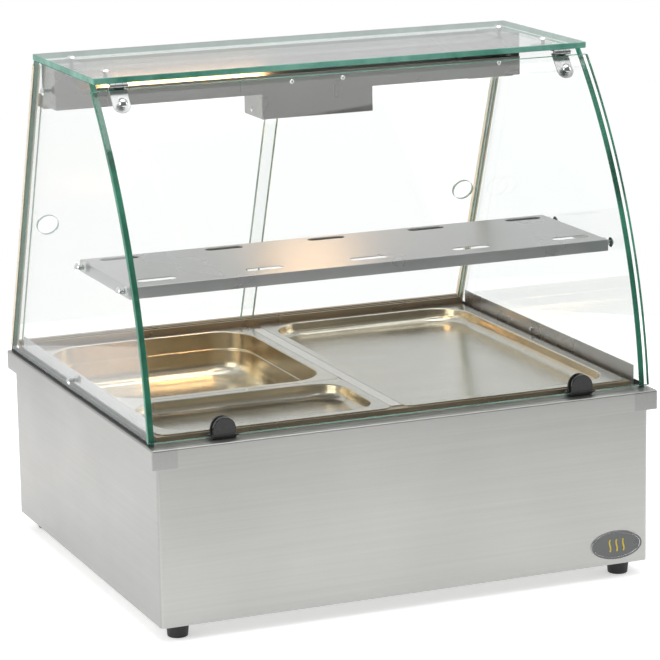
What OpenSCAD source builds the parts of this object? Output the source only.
// Counter-top hot food display case: steel base with a heated water well and three
// gastronorm pans, glass cabin with a curved hinged front, slotted shelf, halogen lamp
// under a steel beam and two sliding rear doors. +Z is up and the front faces -Y.
// The origin is the middle of the footprint, on the surface that the feet stand on.

/* [Pans] */
// Width of a full-size gastronorm pan
pan_w = 325; // [200:1:400]
// Length of a full-size gastronorm pan
pan_l = 530; // [400:1:640]
// Length of the small front pan
small_pan_l = 176; // [108:1:220]
// Depth of the large rear pan
large_pan_depth = 65; // [40:1:100]
// Depth of the small front pan
small_pan_depth = 20; // [15:1:100]
// Depth of the full-size tray
tray_depth = 20; // [15:1:65]
// Corner radius of the full-size tray and of the large pan
pan_corner = 55; // [40:1:60]
// Corner radius of the small pan
small_pan_corner = 45; // [25:1:50]
// Height of the step near the top of a deep pan's walls
pan_step = 25; // [15:1:30]
// Width of the flange that a pan hangs by
pan_flange = 11.5; // [10:0.5:16]
// Sheet thickness of pans, bars and tank
pan_t = 1.2; // [0.8:0.1:2]
// Gap between the left pans and the tray
bar_gap = 16.6; // [12:0.2:24]

/* [Base] */
// Height of the feet
foot_h = 20; // [12:1:40]
// Radius of the feet
foot_r = 15; // [10:1:25]
// Height of the casing from the feet to the top of the rim
base_h = 238; // [210:1:320]
// Distance from the pans to the rim's side edges
side_margin = 25.2; // [25:0.1:60]
// Distance from the pans to the rim's front edge
front_margin = 43.5; // [42:0.5:80]
// Distance from the pans to the rim's rear edge
rear_margin = 40.5; // [40:0.5:80]
// Height of the rim's turned-down skirt
skirt_h = 26; // [15:1:40]
// Overhang of the rim past the casing
overhang = 9.5; // [5:0.5:20]
// Sheet thickness of casing and rim
sheet_t = 1.5; // [1:0.1:2.5]
// Depth of the recess that holds the rear panel
rear_recess = 25.5; // [22:0.5:30]

/* [Glass cabin] */
// Height of the cabin, from the side glasses' lower edge to their upper edge
cabin_h = 432; // [320:1:520]
// Thickness of the side and top glasses
glass_t = 8; // [6:0.5:10]
// Thickness of the curved front glass
front_glass_t = 6; // [5:0.5:8]
// Distance from the rim's front edge to the foot of the side glass
front_foot = 27.5; // [27:0.5:34]
// Depth of the side glass at its upper edge
top_depth = 235; // [200:1:270]
// Distance from the rim's rear edge to the foot of the side glass
rear_foot = 4; // [2:0.5:5]
// How far the side glass leans back from its front foot to its upper edge
front_lean = 191.5; // [150:0.5:220]
// Radius of the curved front
curve_r = 783; // [600:1:1200]
// Height of the shelf's top above the rim
shelf_h = 186; // [120:1:210]
// Depth of the shelf from front to back
shelf_d = 199.5; // [140:0.5:210]
// Height of the shelf's folded edge
shelf_fold = 15.7; // [10:0.1:25]
// Height of the beam's front lip
lip_h = 26; // [18:1:34]
// Depth of the beam from front to back
beam_d = 58; // [50:1:64]
// Distance from the beam's floor to the top glass
beam_drop = 60.5; // [56:0.5:75]
// Thickness of a rear door
door_t = 5; // [4:0.5:6]
// Radius of the finger holes in the rear doors
finger_r = 15; // [11:0.5:20]

/* [Lamp] */
// Width of the lamp housing
lamp_w = 165; // [160:1:220]
// Height of the lamp housing
lamp_h = 60.5; // [56:0.5:80]
// Sideways place of the lamp housing's middle
lamp_x = 33.7; // [-60:0.1:60]

/* [Hidden] */
$fn = 48;
gap = 0.3;                 // clearance between pieces that move past each other
seat = 0.5;                // clearance round a piece that drops into another
play = 0.05;               // clearance of a pin or shaft in its bore

// Base, worked out from the pans and the margins round them
rim_w = 2 * pan_w + bar_gap + 2 * side_margin;
rim_d = pan_l + front_margin + rear_margin;
front_y = -rim_d / 2;
back_y = rim_d / 2;
deck_z = foot_h + base_h;
case_w = rim_w - 2 * overhang;
case_front = front_y + overhang;
case_back = back_y - overhang;
fold_w = 14;
panel_y = case_back - rear_recess;

// Pans and the tank that holds them
pan_front = front_y + front_margin;
pan_back = pan_front + pan_l;
pan_x = bar_gap / 2 + pan_w / 2;
curb_h = 6;
curb_z = deck_z + curb_h;
pan_z = curb_z + pan_t;
pan_gap = 1;
large_pan_l = pan_l - small_pan_l - pan_gap;
pan_seat = 9;
tank_x = bar_gap / 2 + pan_w - pan_seat;
tank_front = pan_front + pan_seat;
tank_back = pan_back - pan_seat;
tank_z = deck_z - 118;
curb_x = tank_x + 14;
curb_front = tank_front - 14;
curb_back = tank_back + 14;
drain_x = -250;
drain_y = tank_back - 40;
drain_r = 9;
bar_w = 37;
bar_h = 12;
cross_y = pan_front + small_pan_l + pan_gap / 2;
cross_w = 15;

// Glass cabin
gasket_h = 3;
glass_edge = 5.5;
glass_x = rim_w / 2 - glass_edge;
glass_in = glass_x - glass_t;
glass_z = deck_z + gasket_h;
glass_top = glass_z + cabin_h;
foot_front = front_y + front_foot;
top_front = foot_front + front_lean;
top_back = top_front + top_depth;
foot_back = back_y - rear_foot;
chord = norm([front_lean, cabin_h]);
chord_a = atan2(cabin_h, front_lean);
rise = sqrt(curve_r * curve_r - chord * chord / 4);
curve_y = (foot_front + top_front) / 2 + rise * sin(chord_a);
curve_z = (glass_z + glass_top) / 2 - rise * cos(chord_a);
slope = atan2(foot_back - top_back, cabin_h);
slope_l = norm([foot_back - top_back, cabin_h]);

// Top glass with its fixings
roof_z = glass_top + 0.6;
roof_front = top_front - 19;
roof_back = top_back + 4;
roof_screw_x = glass_in - 28;
hinge_screw_y = top_front + 41;
beam_front = top_front + 169.3;
beam_back = beam_front + beam_d;
beam_z = roof_z - beam_drop;
beam_screw_y = beam_front + 11.3;
screw_r = 2.5;
screw_head_r = 7;

// Hinges of the front glass
hinge_x = glass_in - 27;
hinge_w = 24;
hinge_y = top_front - 15;
hinge_z = roof_z - 4.1;
barrel_r = 3.4;
hinge_pin_r = 1.5;
leaf_t = 2;
knuckle = 7;
curve_gap = 2;
front_r = curve_r + curve_gap;
front_outer_r = front_r + front_glass_t;
front_half_w = glass_x + 3;
front_low_z = deck_z + 3;
front_high_z = hinge_z - barrel_r - 1.6;
rivet_z = hinge_z - 19.5;
rivet_a = asin((rivet_z - curve_z) / front_outer_r);
clip_x = 254;
clip_r = 16;
clip_z = deck_z + 12;

// Rear doors and their rails, in the plane of the sloping rear edge
door_gap = 4;
door_edge = 3;
rail_x = glass_in - 2;
outer_door_y = -door_edge - door_gap - door_t;
inner_door_y = outer_door_y - door_gap - door_t;
door_low = 11.6;
door_high = (beam_z - glass_z) / cos(slope) + 4;
door_overlap = 24;
door_w = rail_x - 2 + door_overlap / 2;
door_travel = rail_x - 30;
finger_z = (deck_z + 196 - glass_z) / cos(slope);
finger_in = 26;

// Shelf
shelf_z = deck_z + shelf_h;
shelf_w = 2 * (glass_in - 2.2);
shelf_front = foot_front + 86.3;
shelf_back = shelf_front + shelf_d;
slot_l = 54;
slot_w = 16;
slot_pitch = 149;
pin_r = 3;
pin_z = shelf_z - 7;
pin_ys = [shelf_front + 13, shelf_back - 19.4];

// Lamp housing and the small screws on it
hood_reach = 9;
tab_w = 31;
rail_drop = 6;
hood_screw_r = 2;
hood_screw_x = lamp_w / 2 - 44.5;
hood_screw_z = 15;
end_hood_screw_y = beam_front + 39.5;
lip_screw_x = roof_screw_x - 5;
lip_screw_z = 19;

// Fixings through the side glasses
upstand_h = 26.5;
upstand_front = pan_front - 0.5;
upstand_back = foot_back - 36;
upstand_screw_y = 42;
upstand_screw_z = deck_z + 13;
end_screw_y = beam_front + 31;
end_screw_z = beam_z + 23;

// Controls on the rear panel
control_z = foot_h + 62;
knob_x = 210;
knob_r = 19;
shaft_r = 3;
power_x = 275;
light_x = 312;
lights_x = [160, 135];
gland_x = 95;
panel_screw_xs = [-case_w / 2 + 49, -150, 0, 150, case_w / 2 - 49];
panel_screw_zs = [foot_h + 14, deck_z - skirt_h - 12];
panel_screw_r = 1.5;
rocker_w = 19;
rocker_h = 27;
valve_x = drain_x;
valve_z = foot_h + 66;
valve_bore = 6;
spout_r = 8;
spout_drop = 38;
collar_r = 11.9;
collar_drop = 14;
hose_notch = 44;

steel = [0.75, 0.75, 0.74];
bright_steel = [0.84, 0.84, 0.84];
warm_steel = [0.72, 0.68, 0.58];
green_glass = [0.55, 0.78, 0.70, 0.45];
black_plastic = [0.07, 0.07, 0.07];

// ---------- shared shapes ----------

// A rectangle w by d with round corners, about the origin
module round_rect(w, d, r) {
    square([w - 2 * r, d], center = true);
    square([w, d - 2 * r], center = true);
    for (sx = [-1, 1])
        for (sy = [-1, 1])
            translate([sx * (w / 2 - r), sy * (d / 2 - r)])
                circle(r = r);
}

// A box between two heights, given by its low and high X and Y
module slab(x0, x1, y0, y1, z0, z1) {
    translate([x0, y0, z0])
        cube([x1 - x0, y1 - y0, z1 - z0]);
}

// Puts its children at both ends of the X axis, the second one mirrored
module both_sides() {
    children();
    mirror([1, 0, 0])
        children();
}

// Local frame of the sloping rear: Z runs up the glass's rear edge, +Y is outside
module rear_slope() {
    translate([0, foot_back, glass_z])
        rotate([slope, 0, 0])
            children();
}

// A profile drawn in Y and Z, extruded along X from x0 to x1
module along_x(x0, x1) {
    translate([x0, 0, 0])
        rotate([90, 0, 90])
            linear_extrude(height = x1 - x0)
                children();
}

// A disc or shaft along X from x0 to x1
module rod_x(x0, x1, r) {
    translate([x0, 0, 0])
        rotate([0, 90, 0])
            cylinder(r = r, h = x1 - x0);
}

// A disc or shaft along Y from y0 to y1
module rod_y(y0, y1, r) {
    translate([0, y0, 0])
        rotate([-90, 0, 0])
            cylinder(r = r, h = y1 - y0);
}

// A low dome of radius r and height h on the plane Z = 0
module dome(r, h) {
    ball = (r * r + h * h) / (2 * h);
    rotate_extrude()
        intersection() {
            translate([0, h - ball])
                circle(r = ball, $fn = 96);
            square([r, h]);
        }
}

// The front curve's Y at height z, at radius r
function front_at(z, r) = curve_y - sqrt(r * r - (z - curve_z) * (z - curve_z));

// The curved front between two radii and two heights, as a profile in Y and Z
module front_band(r_in, r_out, z0, z1) {
    intersection() {
        difference() {
            translate([curve_y, curve_z])
                circle(r = r_out, $fn = 360);
            translate([curve_y, curve_z])
                circle(r = r_in, $fn = 360);
        }
        translate([front_y - 40, z0])
            square([rim_d / 2, z1 - z0]);
    }
}

// ---------- base ----------

// Wrap of the front and both sides, with a fold inwards along the floor
module outer_casing() {
    color(steel)
    difference() {
        slab(-case_w / 2, case_w / 2, case_front, case_back, foot_h, deck_z - sheet_t);
        slab(-case_w / 2 + sheet_t, case_w / 2 - sheet_t, case_front + sheet_t,
             case_back + 1, foot_h + sheet_t, deck_z);
        slab(-case_w / 2 + fold_w, case_w / 2 - fold_w, case_front + fold_w,
             case_back + 1, foot_h - 1, foot_h + 2 * sheet_t);
    }
}

// Floor of the base, which carries the feet, with vents and a notch for the drain hose
module bottom_plate() {
    z0 = foot_h + sheet_t;
    color(steel)
    difference() {
        slab(-case_w / 2 + sheet_t, case_w / 2 - sheet_t, case_front + sheet_t,
             case_back, z0, z0 + sheet_t);
        for (i = [-4 : 4])
            translate([i * 45, 0, z0 - 1])
                linear_extrude(height = sheet_t + 2)
                    round_rect(5, 120, 2.4);
        slab(valve_x - hose_notch / 2, valve_x + hose_notch / 2, panel_y + 1,
             case_back + 1, z0 - 1, z0 + sheet_t + 1);
    }
}

// Panel in the recess at the rear, with vents and holes for the controls
module rear_panel() {
    color(steel)
    difference() {
        union() {
            slab(-case_w / 2 + sheet_t, case_w / 2 - sheet_t, panel_y - sheet_t, panel_y,
                 foot_h + 2 * sheet_t, deck_z - sheet_t);
            both_sides()
                slab(case_w / 2 - sheet_t - 1.2, case_w / 2 - sheet_t, panel_y - sheet_t,
                     case_back - 6, foot_h + 2 * sheet_t, deck_z - sheet_t);
        }
        for (i = [0 : 9])
            translate([-60 + i * 14, panel_y + 1, foot_h + 150])
                rotate([90, 0, 0])
                    linear_extrude(height = sheet_t + 2)
                        round_rect(5, 44, 2.4);
        translate([knob_x, 0, control_z])
            rod_y(panel_y - 5, panel_y + 5, shaft_r + 1.5);
        for (x = [power_x, light_x])
            slab(x - rocker_w / 2 - 1.4, x + rocker_w / 2 + 1.4, panel_y - 5, panel_y + 5,
                 control_z - rocker_h / 2 - 1.4, control_z + rocker_h / 2 + 1.4);
        for (x = lights_x)
            translate([x, 0, control_z])
                rod_y(panel_y - 5, panel_y + 5, 5);
        translate([gland_x, 0, control_z])
            rod_y(panel_y - 5, panel_y + 5, 8);
        translate([valve_x, 0, valve_z])
            rod_y(panel_y - 5, panel_y + 5, drain_r + 1);
        for (x = panel_screw_xs)
            for (z = panel_screw_zs)
                translate([x, 0, z])
                    rod_y(panel_y - 5, panel_y + 5, panel_screw_r);
    }
}

// Worktop frame with its turned-down skirt and the opening for the tank
module rim_frame() {
    z0 = deck_z - skirt_h;
    color(steel)
    difference() {
        slab(-rim_w / 2, rim_w / 2, front_y, back_y, z0, deck_z);
        slab(-rim_w / 2 + sheet_t, rim_w / 2 - sheet_t, front_y + sheet_t,
             back_y - sheet_t, z0 - 1, deck_z - sheet_t);
        slab(-tank_x - pan_t - seat, tank_x + pan_t + seat, tank_front - pan_t - seat,
             tank_back + pan_t + seat, z0, deck_z + 1);
    }
}

// Four moulded feet, each on its screw
module feet() {
    color(black_plastic)
    for (sx = [-1, 1])
        for (y = [case_front + 26, case_back - 26])
            translate([sx * (case_w / 2 - 31), y, 0]) {
                rotate_extrude()
                    polygon([[0, 0], [foot_r - 2.5, 0], [foot_r - 1.5, 1],
                             [foot_r, foot_h - 3], [foot_r, foot_h], [0, foot_h]]);
            }
}

// Plain oval plate in the lower corner of the front, with a raised border
module badge() {
    badge_w = 76;
    badge_h = 39;
    outline = [for (i = [0 : 59]) [badge_w / 2 * cos(i * 6), badge_h / 2 * sin(i * 6)]];
    inside = [for (i = [0 : 59]) [(badge_w / 2 - 3) * cos(i * 6),
                                  (badge_h / 2 - 3) * sin(i * 6)]];
    color([0.35, 0.36, 0.36])
    translate([case_w / 2 - 47, case_front, foot_h + 27])
        rotate([90, 0, 0])
            difference() {
                linear_extrude(height = 2)
                    polygon(outline);
                translate([0, 0, 1.4])
                    linear_extrude(height = 2)
                        polygon(inside);
            }
}

// Water tank hung in the rim, with the raised curb that the pans rest on
module well_tank() {
    color(warm_steel)
    difference() {
        union() {
            slab(-tank_x - pan_t, tank_x + pan_t, tank_front - pan_t, tank_back + pan_t,
                 tank_z, curb_z);
            slab(-curb_x, curb_x, curb_front, curb_back, deck_z, curb_z);
        }
        slab(-tank_x, tank_x, tank_front, tank_back, tank_z + pan_t, curb_z + 1);
        difference() {
            slab(-curb_x + pan_t, curb_x - pan_t, curb_front + pan_t, curb_back - pan_t,
                 deck_z - 1, curb_z - pan_t);
            slab(-tank_x - pan_t, tank_x + pan_t, tank_front - pan_t, tank_back + pan_t,
                 deck_z - 2, curb_z);
        }
        translate([drain_x, drain_y, tank_z - 1])
            cylinder(r = drain_r - 2, h = pan_t + 2);
    }
}

// Bar between the left pans and the tray: a channel with a low rib along its top
module centre_bar() {
    color(bright_steel)
    difference() {
        union() {
            slab(-bar_w / 2, bar_w / 2, tank_front, tank_back, curb_z - bar_h, curb_z);
            slab(-bar_gap / 2 + seat, bar_gap / 2 - seat, tank_front, tank_back, curb_z,
                 pan_z);
        }
        slab(-bar_w / 2 + pan_t, bar_w / 2 - pan_t, tank_front - 1, tank_back + 1,
             curb_z - bar_h - 1, curb_z - pan_t);
    }
}

// Bar under the joint between the two left pans
module cross_bar() {
    color(bright_steel)
    difference() {
        slab(-tank_x, -bar_w / 2, cross_y - cross_w / 2, cross_y + cross_w / 2,
             curb_z - bar_h, curb_z);
        slab(-tank_x - 1, -bar_w / 2 + 1, cross_y - cross_w / 2 + pan_t,
             cross_y + cross_w / 2 - pan_t, curb_z - bar_h - 1, curb_z - pan_t);
    }
}

// Angle inside a side glass, which the glass is screwed to
module upstand() {
    color(bright_steel)
    difference() {
        union() {
            slab(glass_in - sheet_t, glass_in, upstand_front, upstand_back, deck_z,
                 deck_z + upstand_h);
            slab(curb_x + 0.4, glass_in, upstand_front, upstand_back, deck_z,
                 deck_z + sheet_t);
        }
        translate([0, upstand_screw_y, upstand_screw_z])
            rod_x(glass_in - 10, glass_in + 10, screw_r);
    }
}

module upstand_left() {
    mirror([1, 0, 0])
        upstand();
}

module upstand_right() {
    upstand();
}

// ---------- glass cabin ----------

// Black strips that the side glasses stand on
module glass_gaskets() {
    color(black_plastic)
    both_sides()
        slab(glass_in, glass_x, foot_front, foot_back - 1, deck_z, glass_z);
}

// Outline of a side glass in Y and Z: curved front, sloping rear
module side_outline() {
    intersection() {
        translate([curve_y, curve_z])
            circle(r = curve_r, $fn = 360);
        polygon([[foot_front - 60, glass_z], [foot_back, glass_z],
                 [top_back, glass_top], [foot_front - 60, glass_top]]);
    }
}

// Side glass with holes for the beam, the shelf pins and the upstand screw
module side_glass() {
    color(green_glass)
    difference() {
        along_x(glass_in, glass_x)
            side_outline();
        for (y = pin_ys)
            translate([0, y, pin_z])
                rod_x(glass_in - 1, glass_x + 1, pin_r);
        translate([0, end_screw_y, end_screw_z])
            rod_x(glass_in - 1, glass_x + 1, screw_r);
        translate([0, upstand_screw_y, upstand_screw_z])
            rod_x(glass_in - 1, glass_x + 1, screw_r);
    }
}

module side_glass_left() {
    mirror([1, 0, 0])
        side_glass();
}

module side_glass_right() {
    side_glass();
}

// Clear channels that cap the rear edges of the side glasses
module edge_trims() {
    wall = 1;
    reach = 5;
    color([0.93, 0.90, 0.82, 0.8])
    both_sides()
        rear_slope()
            difference() {
                slab(glass_in - wall, glass_x + wall, -reach, 1.5, 6, slope_l - 6);
                slab(glass_in, glass_x, -reach - 1, 0, 0, slope_l);
            }
}

// A groove for a door, cut up the slope between two heights
module door_groove(y0, low, high) {
    rear_slope()
        slab(-rail_x - 1, rail_x + 1, y0 - seat, y0 + door_t + seat, low, high);
}

// Rail on the rim with a groove for each door
module door_bottom_rail() {
    color(warm_steel)
    difference() {
        slab(-rail_x, rail_x, curb_back + 1.2, foot_back - 3, deck_z, deck_z + 15);
        door_groove(outer_door_y, door_low - 0.4, 60);
        door_groove(inner_door_y, door_low - 0.4, 60);
    }
}

// Rail behind the beam that guides the tops of the doors
module door_top_rail() {
    low = beam_z - rail_drop;
    high = beam_z + 13;
    back_low = foot_back - (low - glass_z) * tan(slope);
    back_high = foot_back - (high - glass_z) * tan(slope);
    color(warm_steel)
    difference() {
        along_x(-rail_x, rail_x)
            polygon([[beam_back, low], [back_low - 2, low], [back_high - 2, high],
                     [beam_back, high]]);
        door_groove(outer_door_y, door_high - 60, door_high + 3);
        door_groove(inner_door_y, door_high - 60, door_high + 3);
    }
}

// Flat top glass, drilled for its four screws
module top_glass() {
    color(green_glass)
    difference() {
        translate([0, (roof_front + roof_back) / 2, roof_z])
            linear_extrude(height = glass_t)
                round_rect(2 * glass_x + 1, roof_back - roof_front, 3);
        for (sx = [-1, 1])
            for (y = [hinge_screw_y, beam_screw_y])
                translate([sx * roof_screw_x, y, roof_z - 1])
                    cylinder(r = screw_r, h = glass_t + 2);
    }
}

// Screws with cup washers that hold the top glass to the hinges and the beam
module top_glass_screws() {
    color(bright_steel)
    for (sx = [-1, 1])
        for (y = [hinge_screw_y, beam_screw_y])
            translate([sx * roof_screw_x, y, 0]) {
                translate([0, 0, roof_z + glass_t])
                    difference() {
                        dome(screw_head_r, 3);
                        translate([0, 0, 1.6])
                            cylinder(r = 2, h = 3, $fn = 6);
                    }
                translate([0, 0, roof_z - 6])
                    cylinder(r = screw_r, h = glass_t + 6.5);
                difference() {
                    translate([0, 0, roof_z - 5.6])
                        cylinder(r = 4.5, h = 3, $fn = 6);
                    translate([0, 0, roof_z - 7])
                        cylinder(r = screw_r, h = 6);
                }
            }
}

// One knuckle of a hinge, from x0 to x1 along the hinge's axis
module hinge_knuckle(x0, x1) {
    translate([0, hinge_y, hinge_z])
        rod_x(x0, x1, barrel_r);
}

// Plates under the top glass with the outer knuckles of the two hinges
module hinge_plates() {
    color(bright_steel)
    both_sides()
        difference() {
            union() {
                slab(hinge_x - hinge_w / 2, hinge_x + hinge_w / 2, hinge_y + barrel_r + 1,
                     hinge_screw_y + 14, roof_z - 2.6, roof_z - 0.4);
                for (x = [hinge_x - hinge_w / 2, hinge_x + hinge_w / 2 - knuckle]) {
                    hinge_knuckle(x, x + knuckle);
                    slab(x, x + knuckle, hinge_y, hinge_y + barrel_r + 2,
                         roof_z - 2.6, roof_z - 0.7);
                }
            }
            translate([0, hinge_y, hinge_z])
                rod_x(hinge_x - hinge_w, hinge_x + hinge_w, hinge_pin_r);
            translate([roof_screw_x, hinge_screw_y, roof_z - 10])
                cylinder(r = screw_r, h = 20);
        }
}

module hinge_pins() {
    color(steel)
    both_sides()
        translate([0, hinge_y, hinge_z])
            rod_x(hinge_x - hinge_w / 2 - 0.6, hinge_x + hinge_w / 2 + 0.6, hinge_pin_r);
}

// ---------- beam and lamp ----------

// Steel channel across the cabin: floor, front lip and high rear wall
module top_beam() {
    x1 = glass_in - gap;
    color(steel)
    difference() {
        slab(-x1, x1, beam_front, beam_back, beam_z, roof_z - 2);
        slab(-x1 - 1, x1 + 1, beam_front + sheet_t, beam_back - sheet_t,
             beam_z + sheet_t, roof_z);
        slab(-x1 - 1, x1 + 1, beam_front - 1, beam_front + 2 * sheet_t,
             beam_z + lip_h, roof_z);
        slab(lamp_x - 60, lamp_x + 60, beam_front + 12, beam_back - 14, beam_z - 1,
             beam_z + sheet_t + 1);
        for (sx = [-1, 1])
            translate([lamp_x + sx * hood_screw_x, 0, beam_z + hood_screw_z])
                rod_y(beam_front - 1, beam_front + 3, hood_screw_r);
        translate([lip_screw_x, 0, beam_z + lip_screw_z])
            rod_y(beam_front - 1, beam_front + 3, hood_screw_r);
    }
}

// End bracket of the beam: side plate against the glass and flange under the roof
module beam_end() {
    x1 = glass_in - gap;
    y0 = beam_front + sheet_t;
    y1 = beam_back - sheet_t;
    difference() {
        union() {
            slab(x1 - sheet_t, x1, y0, y1, beam_z + sheet_t, roof_z - gap);
            slab(roof_screw_x - 14, x1, y0, y1, roof_z - gap - sheet_t, roof_z - gap);
        }
        translate([0, end_screw_y, end_screw_z])
            rod_x(x1 - 10, x1 + 10, screw_r);
        translate([roof_screw_x, beam_screw_y, roof_z - 10])
            cylinder(r = screw_r, h = 20);
    }
}

// The left bracket also has a front cover over the end of the channel
module beam_end_left() {
    x1 = glass_in - gap;
    color(steel)
    union() {
        mirror([1, 0, 0])
            beam_end();
        slab(-x1, -x1 + 34, beam_front, beam_front + sheet_t, beam_z + lip_h,
             roof_z - gap);
    }
}

module beam_end_right() {
    color(steel)
    beam_end();
}

// Cover plate under the beam's floor where the lamp's lead comes in
module cable_cover() {
    color(steel)
    slab(roof_screw_x - 51, roof_screw_x + 18, beam_front + 2, beam_back - 10,
         beam_z - 1.3, beam_z);
}

// Hood of the lamp: front plate over the lip, two ends and a rear wall
module lamp_housing() {
    x0 = lamp_x - lamp_w / 2;
    x1 = lamp_x + lamp_w / 2;
    y0 = beam_front - sheet_t;
    y1 = beam_back + hood_reach;
    z0 = beam_z + lip_h - lamp_h;
    z1 = beam_z + lip_h;
    z_step = beam_z - rail_drop - 2;
    color(steel)
    difference() {
        union() {
            slab(x0, x1, y0, beam_front, z0, z1);
            slab(x0 - tab_w, x0 + 1, y0, beam_front, beam_z + 2, z1);
            for (x = [x0, x1 - sheet_t]) {
                slab(x, x + sheet_t, y0, y1, z0, z_step);
                slab(x, x + sheet_t, y0, beam_back - gap, z_step - 1, beam_z);
            }
            slab(x0, x1, y1 - sheet_t, y1, z0, z_step);
            slab(x0, x1, beam_back - 14, y1, z_step - sheet_t, z_step);
        }
        for (sx = [-1, 1]) {
            translate([lamp_x + sx * hood_screw_x, 0, beam_z + hood_screw_z])
                rod_y(y0 - 1, y0 + 5, hood_screw_r);
            translate([lamp_x + sx * lamp_w / 2, end_hood_screw_y, z0 + 9])
                rod_x(-5, 5, hood_screw_r);
        }
    }
}

// Folded reflector above the lamp
module lamp_reflector() {
    x0 = lamp_x - lamp_w / 2 + 22;
    x1 = lamp_x + lamp_w / 2 - 22;
    ym = (beam_front + beam_back) / 2;
    z0 = beam_z + lip_h - lamp_h + 6;
    color([0.9, 0.9, 0.9])
    along_x(x0, x1)
        polygon([[ym - 24, z0], [ym - 12, z0 + 19], [ym + 12, z0 + 19], [ym + 24, z0],
                 [ym + 23, z0], [ym + 11.4, z0 + 18], [ym - 11.4, z0 + 18],
                 [ym - 23, z0]]);
}

// Ceramic holders at the two ends of the lamp
module lamp_holders() {
    ym = (beam_front + beam_back) / 2;
    z0 = beam_z + lip_h - lamp_h + 5;
    color([0.93, 0.92, 0.88])
    for (sx = [-1, 1])
        translate([lamp_x + sx * (lamp_w / 2 - sheet_t - 9), ym, z0])
            difference() {
                slab(-9, 9, -7, 7, 0, 26);
                translate([0, 0, 8])
                    rod_x(sx > 0 ? -10 : 2, sx > 0 ? -2 : 10, 3.6);
            }
}

// Quartz halogen tube
module lamp_tube() {
    ym = (beam_front + beam_back) / 2;
    z0 = beam_z + lip_h - lamp_h + 13;
    half = lamp_w / 2 - sheet_t - 18;
    color([1.0, 0.93, 0.75, 0.8])
    translate([lamp_x, ym, z0]) {
        rod_x(-half - 5, half + 5, 3.4);
        rod_x(-half + 6, half - 6, 5);
    }
}

// Wire guard across the open underside of the lamp housing
module lamp_guard() {
    x0 = lamp_x - lamp_w / 2 + sheet_t;
    x1 = lamp_x + lamp_w / 2 - sheet_t;
    y0 = beam_front;
    y1 = beam_back + 5 - sheet_t;
    z0 = beam_z + lip_h - lamp_h + 1.5;
    color(bright_steel)
    union() {
        for (y = [y0 + 8, (y0 + y1) / 2, y1 - 8])
            translate([0, y, z0])
                rod_x(x0, x1, 1);
        for (i = [-3 : 3])
            translate([lamp_x + i * 22, 0, z0 + 1.4])
                rod_y(y0, y1, 1);
    }
}

// ---------- shelf and fixings ----------

// Slotted sheet with all four edges folded down
module shelf() {
    fold_t = 1.2;
    color(bright_steel)
    difference() {
        slab(-shelf_w / 2, shelf_w / 2, shelf_front, shelf_back, shelf_z - shelf_fold,
             shelf_z);
        slab(-shelf_w / 2 + fold_t, shelf_w / 2 - fold_t, shelf_front + fold_t,
             shelf_back - fold_t, shelf_z - shelf_fold - 1, shelf_z - fold_t);
        for (i = [-2 : 2])
            for (y = [shelf_front + 35, shelf_back - 17])
                translate([i * slot_pitch + 5, y, shelf_z - 5])
                    linear_extrude(height = 10)
                        round_rect(slot_l, slot_w, slot_w / 2 - 0.1);
        for (y = pin_ys)
            translate([0, y, pin_z])
                rod_x(-shelf_w, shelf_w, pin_r);
    }
}

// Domed studs through the side glasses that carry the shelf
module shelf_pins() {
    color(bright_steel)
    both_sides()
        for (y = pin_ys)
            translate([0, y, pin_z]) {
                rod_x(shelf_w / 2 - 6, glass_x, pin_r);
                translate([glass_x, 0, 0])
                    rotate([0, 90, 0])
                        dome(7, 4);
                translate([shelf_w / 2 - 5.2, 0, 0])
                    difference() {
                        rod_x(0, 4, 5);
                        rod_x(-1, 5, pin_r);
                    }
            }
}

// Clear washers between the shelf's ends and the glass
module shelf_spacers() {
    color([0.9, 0.9, 0.88, 0.6])
    both_sides()
        for (y = pin_ys)
            translate([0, y, pin_z])
                difference() {
                    rod_x(shelf_w / 2, glass_in, 7);
                    rod_x(0, rim_w, pin_r);
                }
}

// A low screw head on the plane Z = 0 with its shank below
module screw(head_r, head_h, shank_r, shank_l) {
    difference() {
        dome(head_r, head_h);
        for (a = [0, 90])
            rotate([0, 0, a])
                translate([-head_r * 0.55, -0.4, head_h * 0.45])
                    cube([head_r * 1.1, 0.8, head_h]);
    }
    translate([0, 0, -shank_l])
        cylinder(r = shank_r, h = shank_l);
}

// Screws from outside through the side glasses into the beam ends and upstands
module side_screws() {
    color(bright_steel)
    both_sides() {
        translate([glass_x, end_screw_y, end_screw_z])
            rotate([0, 90, 0])
                screw(6, 2.4, screw_r, glass_t + 6);
        translate([glass_x, upstand_screw_y, upstand_screw_z])
            rotate([0, 90, 0])
                screw(6, 2.4, screw_r, glass_t + 4);
    }
}

// Screws on the lamp housing and on the beam's lip
module housing_screws() {
    z0 = beam_z + lip_h - lamp_h;
    color(bright_steel)
    union() {
        for (sx = [-1, 1]) {
            translate([lamp_x + sx * hood_screw_x, beam_front - sheet_t,
                       beam_z + hood_screw_z])
                rotate([90, 0, 0])
                    screw(3.6, 2, hood_screw_r, 7);
            translate([lamp_x + sx * lamp_w / 2, end_hood_screw_y, z0 + 9])
                rotate([0, sx * 90, 0])
                    screw(3.6, 2, hood_screw_r, 5);
        }
        translate([lip_screw_x, beam_front, beam_z + lip_screw_z])
            rotate([90, 0, 0])
                screw(3.6, 2, hood_screw_r, 6);
    }
}

// Screws round the rear panel
module panel_screws() {
    color(bright_steel)
    for (x = panel_screw_xs)
        for (z = panel_screw_zs)
            translate([x, panel_y, z])
                rotate([-90, 0, 0])
                    screw(3.6, 2, panel_screw_r, 6);
}

// ---------- heating, controls and drain ----------

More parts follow.
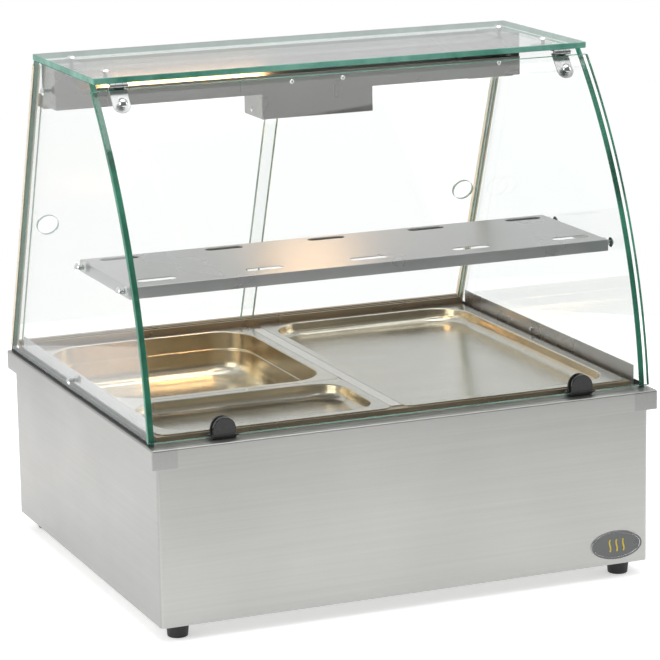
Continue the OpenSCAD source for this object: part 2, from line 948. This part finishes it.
// Hairpin tubular heater pressed against the tank's floor
module heating_element() {
    tube_r = 4;
    z0 = tank_z - tube_r;
    reach = 210;
    leg = 90;
    color([0.35, 0.33, 0.32])
    union() {
        for (sy = [-1, 1])
            translate([0, sy * leg, z0])
                rod_x(-reach, reach, tube_r);
        for (sx = [-1, 1])
            translate([sx * reach, 0, z0])
                rotate([0, 0, -sx * 90])
                    rotate_extrude(angle = 180)
                        translate([leg, 0])
                            circle(r = tube_r);
        for (x = [150, 190])
            translate([x, leg, z0 - 26])
                cylinder(r = tube_r, h = 26);
    }
}

// Straps that hold the heater to the tank
module element_clamps() {
    color(steel)
    for (x = [-170, 0, 120])
        for (sy = [-1, 1])
            translate([x, sy * 90, 0])
                difference() {
                    slab(-6, 6, -14, 14, tank_z - 9.5, tank_z);
                    slab(-7, 7, -5, 5, tank_z - 8.2, tank_z + 1);
                    slab(-7, 7, 6.2, 15, tank_z - 10, tank_z - 1.2);
                    slab(-7, 7, -15, -6.2, tank_z - 10, tank_z - 1.2);
                }
}

// Thermostat with the bush that holds it to the panel
module thermostat_body() {
    color([0.82, 0.80, 0.74])
    translate([knob_x, 0, control_z])
        difference() {
            union() {
                slab(-17, 17, panel_y - 40, panel_y - 6, -16, 16);
                rod_y(panel_y - 6, panel_y + 2, shaft_r + 1.5);
            }
            rod_y(panel_y - 20, panel_y + 5, shaft_r + play);
        }
}

// Sensing bulb under the tank with its thin tube down to the thermostat
module thermostat_bulb() {
    y1 = panel_y - 28;
    color([0.80, 0.50, 0.30])
    union() {
        translate([knob_x - 40, 0, tank_z - 3.2])
            rod_y(y1 - 90, y1, 3.2);
        translate([knob_x - 40, y1 - 1, tank_z - 3.2])
            rod_x(0, 40, 1);
        translate([knob_x, y1 - 1, control_z + 16])
            cylinder(r = 1, h = tank_z - 3.2 - control_z - 16);
        translate([knob_x, y1 - 1, tank_z - 3.2])
            sphere(r = 1);
    }
}

// Frames of the two rocker switches, clipped into the panel
module switch_bodies() {
    color(black_plastic)
    for (x = [power_x, light_x])
        translate([x, 0, control_z])
            difference() {
                union() {
                    slab(-rocker_w / 2 - 1.4, rocker_w / 2 + 1.4, panel_y - 24, panel_y,
                         -rocker_h / 2 - 1.4, rocker_h / 2 + 1.4);
                    slab(-rocker_w / 2 - 3, rocker_w / 2 + 3, panel_y, panel_y + 2,
                         -rocker_h / 2 - 3, rocker_h / 2 + 3);
                }
                slab(-rocker_w / 2 + 2 - gap, rocker_w / 2 - 2 + gap, panel_y - 14,
                     panel_y + 5, -rocker_h / 2 + 1 - gap, rocker_h / 2 - 1 + gap);
            }
}

// Round pilot lights for heat and mains
module indicator_lamps() {
    color([0.95, 0.45, 0.10])
    for (x = lights_x)
        translate([x, 0, control_z])
            union() {
                rod_y(panel_y - 22, panel_y, 5);
                rod_y(panel_y, panel_y + 1.5, 7);
                translate([0, panel_y + 1.5, 0])
                    rotate([-90, 0, 0])
                        dome(5.5, 3);
            }
}

// Screw terminals inside the base
module terminal_block() {
    color([0.90, 0.90, 0.86])
    translate([gland_x, panel_y - 60, foot_h + 2 * sheet_t])
        difference() {
            slab(-30, 30, -10, 10, 0, 18);
            for (i = [-2 : 2])
                translate([i * 11, 0, 8])
                    cylinder(r = 2.4, h = 12);
        }
}

// Hexagonal gland for the mains lead, with nothing through it
module cable_gland() {
    color(black_plastic)
    translate([gland_x, 0, control_z])
        difference() {
            union() {
                rod_y(panel_y - 10, panel_y, 8);
                translate([0, panel_y, 0])
                    rotate([-90, 0, 0])
                        cylinder(r = 12, h = 6, $fn = 6);
                rod_y(panel_y + 6, panel_y + 20, 9);
            }
            rod_y(panel_y - 11, panel_y + 21, 4.5);
        }
}

// Pipe from the tank's floor down and back to the valve
module drain_pipe() {
    color([0.78, 0.62, 0.35])
    difference() {
        translate([drain_x, 0, 0]) {
            translate([0, drain_y, valve_z])
                cylinder(r = drain_r, h = tank_z - valve_z);
            translate([0, drain_y, valve_z])
                sphere(r = drain_r);
            translate([0, 0, valve_z])
                rod_y(drain_y, panel_y + 3, drain_r);
        }
        translate([drain_x, 0, 0]) {
            translate([0, drain_y, valve_z])
                cylinder(r = drain_r - 2, h = tank_z - valve_z + 1);
            translate([0, drain_y, valve_z])
                sphere(r = drain_r - 2);
            translate([0, 0, valve_z])
                rod_y(drain_y, panel_y + 4, drain_r - 2);
        }
    }
}

// Quarter-turn valve with a spout that points down
module drain_valve() {
    y0 = panel_y + 3;
    ym = y0 + 12;
    color([0.80, 0.66, 0.36])
    translate([valve_x, 0, valve_z])
        difference() {
            union() {
                rod_y(y0, ym, 12);
                translate([0, ym, -spout_drop])
                    cylinder(r = spout_r, h = spout_drop);
                translate([0, ym, -collar_drop])
                    cylinder(r = collar_r, h = collar_drop);
                translate([0, ym, 0])
                    sphere(r = 12);
                translate([0, ym, 8])
                    cylinder(r = 5, h = 10);
            }
            rod_y(y0 - 1, ym, valve_bore);
            translate([0, ym, -spout_drop - 1])
                cylinder(r = valve_bore, h = spout_drop + 2);
        }
}

// ---------- moving pieces ----------

// Curved front glass, drilled for the hinge rivets
module front_glass() {
    color(green_glass)
    difference() {
        along_x(-front_half_w, front_half_w)
            front_band(front_r, front_outer_r, front_low_z, front_high_z);
        for (sx = [-1, 1])
            translate([sx * hinge_x, curve_y, curve_z])
                rotate([-rivet_a, 0, 0])
                    rod_y(-front_outer_r - 5, -front_r + 5, screw_r);
    }
}

// Two black grips on the lower edge of the front glass
module glass_clips() {
    y_in = front_at(clip_z, front_r);
    y_out = front_at(clip_z, front_outer_r);
    low = deck_z + gap;
    color(black_plastic)
    both_sides()
        translate([clip_x, 0, 0])
            difference() {
                union() {
                    translate([0, 0, clip_z])
                        rod_y(y_out - 3.5, y_in + 3.5, clip_r);
                    slab(-clip_r, clip_r, y_out - 3.5, y_in + 3.5, low, clip_z);
                    slab(-clip_r - 4, clip_r + 4, y_out - 5, y_in + 5, low + 3, low + 5);
                }
                slab(-clip_r - 5, clip_r + 5, y_out - 9, y_in + 9, deck_z - 20, low);
                along_x(-clip_r - 9, clip_r + 9)
                    front_band(front_r, front_outer_r, front_low_z, clip_z + 40);
            }
}

// Leaves riveted to the glass, each with the middle knuckle of its hinge
module hinge_leaves() {
    x0 = hinge_x - hinge_w / 2 + knuckle + gap;
    x1 = hinge_x + hinge_w / 2 - knuckle - gap;
    web_z = front_high_z + 0.9;
    web_top = web_z + leaf_t;
    color(bright_steel)
    both_sides()
        difference() {
            union() {
                hinge_knuckle(x0, x1);
                intersection() {
                    along_x(hinge_x - hinge_w / 2, hinge_x + hinge_w / 2)
                        front_band(front_r - leaf_t, front_r, rivet_z - 14,
                                   web_top - 0.1);
                    translate([hinge_x, curve_y, curve_z])
                        rotate([90 - rivet_a, 0, 0])
                            linear_extrude(height = front_r + 40) {
                                circle(r = hinge_w / 2);
                                translate([-hinge_w / 2, 0])
                                    square([hinge_w, 40]);
                            }
                }
                along_x(x0, x1)
                    polygon([[hinge_y, web_z],
                             [front_at(web_z, front_r - leaf_t), web_z],
                             [front_at(web_top, front_r - leaf_t), web_top],
                             [hinge_y, web_top]]);
            }
            translate([0, hinge_y, hinge_z])
                rod_x(0, rim_w, hinge_pin_r + play);
            translate([hinge_x, curve_y, curve_z])
                rotate([-rivet_a, 0, 0])
                    rod_y(-front_r - 5, -front_r + 10, screw_r);
        }
}

// Domed rivets that hold the leaves to the glass
module leaf_rivets() {
    color(bright_steel)
    both_sides()
        translate([hinge_x, curve_y, curve_z])
            rotate([90 - rivet_a, 0, 0]) {
                translate([0, 0, front_outer_r])
                    dome(6.5, 3.5);
                translate([0, 0, front_r - leaf_t - 1])
                    cylinder(r = screw_r, h = front_glass_t + leaf_t + 1);
                translate([0, 0, front_r - leaf_t - 2.1])
                    cylinder(r = 5, h = 2);
            }
}

// A rear door from x0 to x1 with its finger hole at hole_x
module door(x0, x1, y0, hole_x) {
    color([0.85, 0.93, 0.90, 0.4])
    rear_slope()
        difference() {
            slab(x0, x1, y0, y0 + door_t, door_low, door_high);
            translate([hole_x, 0, finger_z])
                rod_y(y0 - 1, y0 + door_t + 1, finger_r);
        }
}

module door_left() {
    door(-rail_x + 2, door_overlap / 2, outer_door_y, -rail_x + finger_in);
}

module door_right() {
    door(-door_overlap / 2, rail_x - 2, inner_door_y, rail_x - finger_in);
}

// A stepped pan hung by its flange: w by l outside, its flange's top at Z = 0
module pan(w, l, depth, corner) {
    step_d = min(pan_step, depth / 2);
    step_in = depth > 40 ? 2.5 : 1;
    w1 = w - 2 * pan_flange;
    l1 = l - 2 * pan_flange;
    difference() {
        union() {
            translate([0, 0, -pan_t])
                linear_extrude(height = pan_t)
                    round_rect(w, l, 14);
            translate([0, 0, -step_d])
                linear_extrude(height = step_d - pan_t / 2)
                    round_rect(w1, l1, corner);
            translate([0, 0, -depth])
                linear_extrude(height = depth - step_d + pan_t / 2)
                    round_rect(w1 - 2 * step_in, l1 - 2 * step_in, corner - step_in);
        }
        translate([0, 0, -step_d + pan_t])
            linear_extrude(height = step_d + 1)
                round_rect(w1 - 2 * pan_t, l1 - 2 * pan_t, corner - pan_t);
        translate([0, 0, -depth + pan_t])
            linear_extrude(height = depth + 1)
                round_rect(w1 - 2 * step_in - 2 * pan_t, l1 - 2 * step_in - 2 * pan_t,
                           corner - step_in - pan_t);
    }
}

module large_pan() {
    color(warm_steel)
    translate([-pan_x, pan_back - large_pan_l / 2, pan_z])
        pan(pan_w, large_pan_l, large_pan_depth, pan_corner);
}

module small_pan() {
    color(warm_steel)
    translate([-pan_x, pan_front + small_pan_l / 2, pan_z])
        pan(pan_w, small_pan_l, small_pan_depth, small_pan_corner);
}

module full_tray() {
    color(warm_steel)
    translate([pan_x, (pan_front + pan_back) / 2, pan_z])
        pan(pan_w, pan_l, tray_depth, pan_corner);
}

// Round knob with a flat grip across it, on the thermostat's shaft
module thermostat_knob() {
    color(black_plastic)
    translate([knob_x, 0, control_z])
        difference() {
            union() {
                rod_y(panel_y - 18, panel_y + 8, shaft_r);
                rod_y(panel_y + 2.6, panel_y + 8, knob_r);
                slab(-4, 4, panel_y + 8, panel_y + 19, -knob_r + 2, knob_r - 2);
            }
            slab(-0.6, 0.6, panel_y + 18, panel_y + 20, 4, knob_r);
        }
}

// Rocker of a switch, tilted by tip degrees about its middle
module rocker(x, tip) {
    translate([x, panel_y - 2, control_z])
        rotate([tip, 0, 0])
            intersection() {
                rod_x(-rocker_w / 2 + 2, rocker_w / 2 - 2, rocker_h / 2 - 1.6);
                translate([-rocker_w / 2, -6, -rocker_h / 2])
                    cube([rocker_w, 11.5, rocker_h]);
            }
}

module power_rocker() {
    color([0.10, 0.35, 0.14])
    rocker(power_x, -8);
}

module light_rocker() {
    color([0.55, 0.08, 0.06])
    rocker(light_x, -8);
}

// Lever of the drain valve, across the pipe while the valve is shut
module drain_lever() {
    ym = panel_y + 15;
    z0 = valve_z + 18;
    color([0.70, 0.10, 0.08])
    translate([valve_x, ym, 0])
        union() {
            translate([0, 0, z0 + gap])
                cylinder(r = 6, h = 3.4);
            slab(0, 48, -5, 5, z0 + gap + 0.6, z0 + gap + 3);
            translate([48, 0, z0 + gap + 0.6])
                cylinder(r = 5, h = 2.4);
        }
}

outer_casing();
bottom_plate();
rear_panel();
rim_frame();
feet();
badge();
well_tank();
centre_bar();
cross_bar();
upstand_left();
upstand_right();
glass_gaskets();
edge_trims();
door_bottom_rail();
door_top_rail();
side_glass_left();
side_glass_right();
top_glass();
top_glass_screws();
hinge_plates();
hinge_pins();
top_beam();
beam_end_left();
beam_end_right();
cable_cover();
lamp_housing();
lamp_reflector();
lamp_holders();
lamp_tube();
lamp_guard();
shelf();
shelf_pins();
shelf_spacers();
side_screws();
housing_screws();
panel_screws();
heating_element();
element_clamps();
thermostat_body();
thermostat_bulb();
switch_bodies();
indicator_lamps();
terminal_block();
cable_gland();
drain_pipe();
drain_valve();
front_glass();
glass_clips();
hinge_leaves();
leaf_rivets();
door_left();
door_right();
large_pan();
small_pan();
full_tray();
thermostat_knob();
power_rocker();
light_rocker();
drain_lever();
